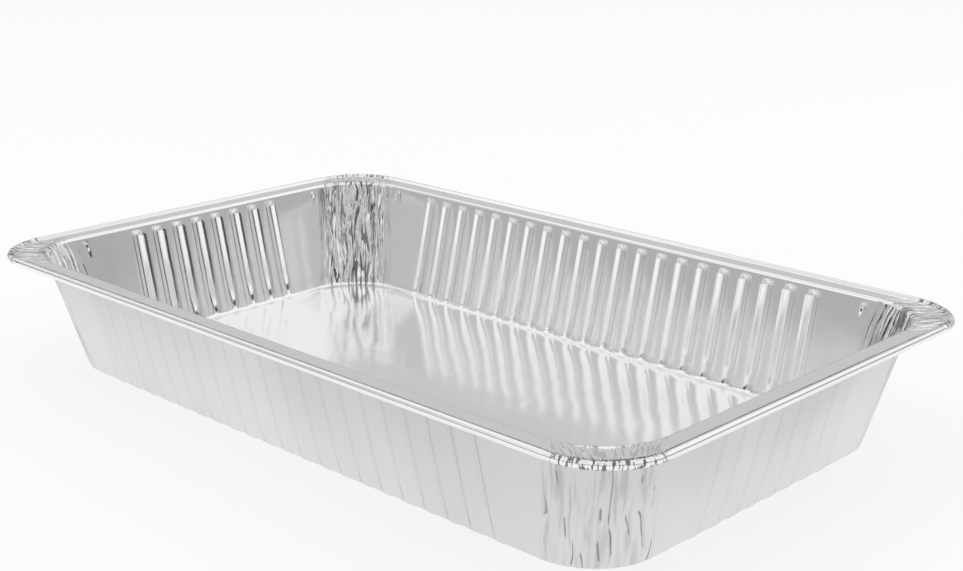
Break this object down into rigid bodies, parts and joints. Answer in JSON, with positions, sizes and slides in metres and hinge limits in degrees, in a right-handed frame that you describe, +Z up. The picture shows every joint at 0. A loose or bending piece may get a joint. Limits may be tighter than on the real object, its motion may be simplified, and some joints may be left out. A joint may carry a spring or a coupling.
{
  "type": "foil roasting pan",
  "caption": "Full-size deep disposable foil roasting pan with slanted fluted walls, gathered corners, flat flange and rolled edge",
  "frame": {"origin": "middle of the base, on the surface that the pan stands on", "axes": "+X along the pan's length, +Y across it, +Z up out of the mouth"},
  "size_m": [0.527, 0.3254, 0.076],
  "materials": {
    "foil": "satin rolled foil"
  },
  "bodies": {
    "root": {"pan": "foil"}
  },
  "joints": []
}
